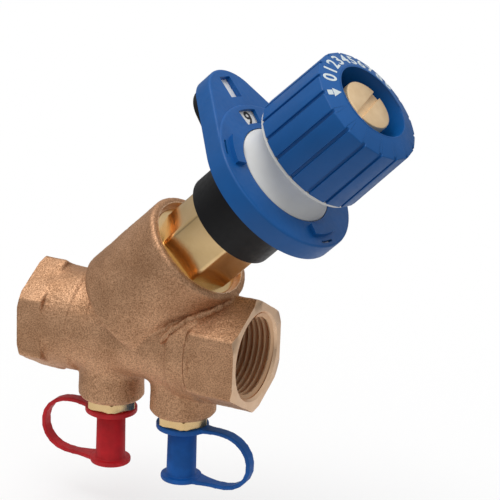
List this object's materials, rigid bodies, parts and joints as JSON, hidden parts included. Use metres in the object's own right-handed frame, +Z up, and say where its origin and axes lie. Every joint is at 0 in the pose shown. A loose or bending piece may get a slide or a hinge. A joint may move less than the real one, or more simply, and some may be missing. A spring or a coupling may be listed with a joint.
{
  "type": "balancing valve",
  "caption": "Bronze balancing valve with threaded ports, a slanted bonnet, a handwheel with a turn counter and drain screw, and capped test points.",
  "frame": {"origin": "centre of the inlet port's end face, on the pipe axis", "axes": "+X along the pipe with the flow, +Z up in the plane of the slanted bonnet, test points below"},
  "size_m": [0.1202, 0.0506, 0.1421],
  "materials": {
    "bronze": "sand-cast bronze, grainy satin",
    "brass": "turned, satin",
    "blue_plastic": "moulded, fine satin",
    "black_plastic": "moulded, matte",
    "white_plastic": "moulded, satin",
    "steel": "spring steel, plain",
    "red_rubber": "moulded rubber, satin",
    "blue_rubber": "moulded rubber, satin",
    "black_rubber": "moulded rubber, matte"
  },
  "bodies": {
    "valve": {"valve_body": "bronze", "bonnet": "brass", "bonnet_seal": "black_rubber", "base_sleeve": "black_plastic", "indicator_housing": "blue_plastic", "red_test_point": "brass", "red_test_point_gasket": "black_rubber", "red_test_point_seal": "black_rubber", "blue_test_point": "brass", "blue_test_point_gasket": "black_rubber", "blue_test_point_seal": "black_rubber"},
    "handwheel": {"handwheel": "blue_plastic", "handwheel_clip": "steel", "counter_carrier": "white_plastic"},
    "dial": {"number_dial": "white_plastic"},
    "pinion": {"counter_pinion": "white_plastic"},
    "spindle": {"spindle": "brass", "spindle_o_rings": "black_rubber", "valve_disc": "brass", "disc_seal": "black_rubber", "throttle_cone": "brass"},
    "drain_seal": {"drain_seal": "black_rubber"},
    "drain_screw": {"drain_screw": "brass"},
    "red_strap": {"red_strap": "red_rubber"},
    "red_cap": {"red_cap": "red_rubber"},
    "blue_strap": {"blue_strap": "blue_rubber"},
    "blue_cap": {"blue_cap": "blue_rubber"}
  },
  "joints": [
    {"name": "handwheel_turn", "type": "hinge", "parent": "valve", "child": "handwheel", "pos_m": [0.0235, 0, 0], "axis": [0.7071, 0, 0.7071], "range_deg": [-3240, 0]},
    {"name": "dial_turn", "type": "hinge", "parent": "valve", "child": "dial", "pos_m": [0.0235, 0, 0], "axis": [0.7071, 0, 0.7071], "range_deg": [-324, 0]},
    {"name": "pinion_turn", "type": "hinge", "parent": "handwheel", "child": "pinion", "pos_m": [0.08725, -0.00995, 0.04698], "axis": [0.7071, 0, 0.7071], "range_deg": [0, 12960]},
    {"name": "spindle_lift", "type": "slide", "parent": "handwheel", "child": "spindle", "axis": [0.7071, 0, 0.7071], "range_m": [-0.009, 0]},
    {"name": "drain_seal_lift", "type": "slide", "parent": "spindle", "child": "drain_seal", "axis": [0.7071, 0, 0.7071], "range_m": [0, 0.003]},
    {"name": "drain_screw_turn", "type": "hinge", "parent": "drain_seal", "child": "drain_screw", "pos_m": [0.0235, 0, 0], "axis": [0.7071, 0, 0.7071], "range_deg": [0, 1080]},
    {"name": "red_strap_swivel", "type": "hinge", "parent": "valve", "child": "red_strap", "pos_m": [0.025, 0, -0.0274], "axis": [0, 0, 1], "range_deg": [-60, 60]},
    {"name": "red_cap_pull", "type": "slide", "parent": "red_strap", "child": "red_cap", "axis": [0, 0, -1], "range_m": [0, 0.015], "deforming": ["red_strap"]},
    {"name": "blue_strap_swivel", "type": "hinge", "parent": "valve", "child": "blue_strap", "pos_m": [0.0504, 0, -0.0274], "axis": [0, 0, 1], "range_deg": [-60, 60]},
    {"name": "blue_cap_pull", "type": "slide", "parent": "blue_strap", "child": "blue_cap", "axis": [0, 0, -1], "range_m": [0, 0.015], "deforming": ["blue_strap"]}
  ],
  "couplings": [
    {"joint": "handwheel_turn", "follows": "spindle_lift", "rad_per_m": 6283.2},
    {"joint": "dial_turn", "follows": "spindle_lift", "rad_per_m": 628.32},
    {"joint": "pinion_turn", "follows": "spindle_lift", "rad_per_m": -25133},
    {"joint": "drain_screw_turn", "follows": "drain_seal_lift", "rad_per_m": 6283.2}
  ]
}
